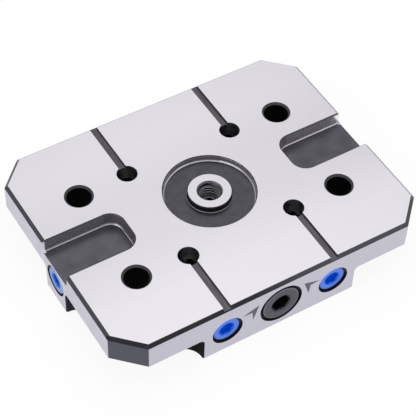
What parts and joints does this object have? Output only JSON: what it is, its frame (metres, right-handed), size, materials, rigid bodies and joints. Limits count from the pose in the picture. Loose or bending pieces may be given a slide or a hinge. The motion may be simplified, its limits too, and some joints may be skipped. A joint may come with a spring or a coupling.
{
  "type": "zero point clamping plate",
  "caption": "Bevelled steel plate with a clamping ledge, end pockets and a centring recess; a hex spindle spreads inner pins that grip pull studs from the side.",
  "frame": {"origin": "middle of the stud face, which lies on the floor as in the picture", "axes": "+X along the long edge, +Y away from the spindle towards the back, +Z out of the machine face"},
  "size_m": [0.15, 0.116, 0.027],
  "materials": {
    "plate_steel": "ground faces, black oxide on chamfers, pockets, recess and bores",
    "black_steel": "black oxide, satin",
    "blue_aluminium": "blue anodised, satin",
    "hardened_steel": "hardened and ground",
    "spring_steel": "drawn wire",
    "bronze": "turned bronze",
    "seal_rubber": "matt black nitrile"
  },
  "bodies": {
    "plate": {"plate_body": "plate_steel", "spindle_retaining_ring": "black_steel", "thrust_washer": "bronze", "plug_seals": "seal_rubber", "plug_front_left": "blue_aluminium", "plug_front_right": "blue_aluminium", "plug_back_left": "blue_aluminium", "plug_back_right": "blue_aluminium", "plug_left_end": "blue_aluminium", "plug_right_end": "blue_aluminium", "guide_bush_front_left": "bronze", "guide_bush_front_right": "bronze", "guide_bush_back_left": "bronze", "guide_bush_back_right": "bronze"},
    "spindle": {"spindle": "black_steel", "spindle_seal": "seal_rubber"},
    "wedge_nut": {"wedge_nut": "hardened_steel"},
    "push_rod_left": {"push_rod_left": "hardened_steel"},
    "push_rod_right": {"push_rod_right": "hardened_steel"},
    "clamping_pin_front_left": {"clamping_pin_front_left": "hardened_steel", "pin_spring_front_left": "spring_steel"},
    "clamping_pin_front_right": {"clamping_pin_front_right": "hardened_steel", "pin_spring_front_right": "spring_steel"},
    "clamping_pin_back_left": {"clamping_pin_back_left": "hardened_steel", "pin_spring_back_left": "spring_steel"},
    "clamping_pin_back_right": {"clamping_pin_back_right": "hardened_steel", "pin_spring_back_right": "spring_steel"}
  },
  "joints": [
    {"name": "spindle_turn", "type": "hinge", "parent": "plate", "child": "spindle", "pos_m": [0, -0.058, 0.0135], "axis": [0, 1, 0], "range_deg": [0, 1080]},
    {"name": "wedge_nut_slide", "type": "slide", "parent": "plate", "child": "wedge_nut", "axis": [0, 1, 0], "range_m": [0, 0.006]},
    {"name": "push_rod_left_slide", "type": "slide", "parent": "plate", "child": "push_rod_left", "axis": [-1, 0, 0], "range_m": [0, 0.0024]},
    {"name": "push_rod_right_slide", "type": "slide", "parent": "plate", "child": "push_rod_right", "axis": [1, 0, 0], "range_m": [0, 0.0024]},
    {"name": "clamping_pin_front_left_slide", "type": "slide", "parent": "plate", "child": "clamping_pin_front_left", "axis": [0, -1, 0], "range_m": [0, 0.003], "deforming": ["pin_spring_front_left"]},
    {"name": "clamping_pin_front_right_slide", "type": "slide", "parent": "plate", "child": "clamping_pin_front_right", "axis": [0, -1, 0], "range_m": [0, 0.003], "deforming": ["pin_spring_front_right"]},
    {"name": "clamping_pin_back_left_slide", "type": "slide", "parent": "plate", "child": "clamping_pin_back_left", "axis": [0, 1, 0], "range_m": [0, 0.003], "deforming": ["pin_spring_back_left"]},
    {"name": "clamping_pin_back_right_slide", "type": "slide", "parent": "plate", "child": "clamping_pin_back_right", "axis": [0, 1, 0], "range_m": [0, 0.003], "deforming": ["pin_spring_back_right"]}
  ],
  "couplings": [
    {"joint": "wedge_nut_slide", "follows": "spindle_turn", "m_per_rad": 0.00031831},
    {"joint": "push_rod_left_slide", "follows": "spindle_turn", "m_per_rad": 0.00012732},
    {"joint": "push_rod_right_slide", "follows": "spindle_turn", "m_per_rad": 0.00012732},
    {"joint": "clamping_pin_front_left_slide", "follows": "spindle_turn", "m_per_rad": 0.00015915},
    {"joint": "clamping_pin_front_right_slide", "follows": "spindle_turn", "m_per_rad": 0.00015915},
    {"joint": "clamping_pin_back_left_slide", "follows": "spindle_turn", "m_per_rad": 0.00015915},
    {"joint": "clamping_pin_back_right_slide", "follows": "spindle_turn", "m_per_rad": 0.00015915}
  ]
}
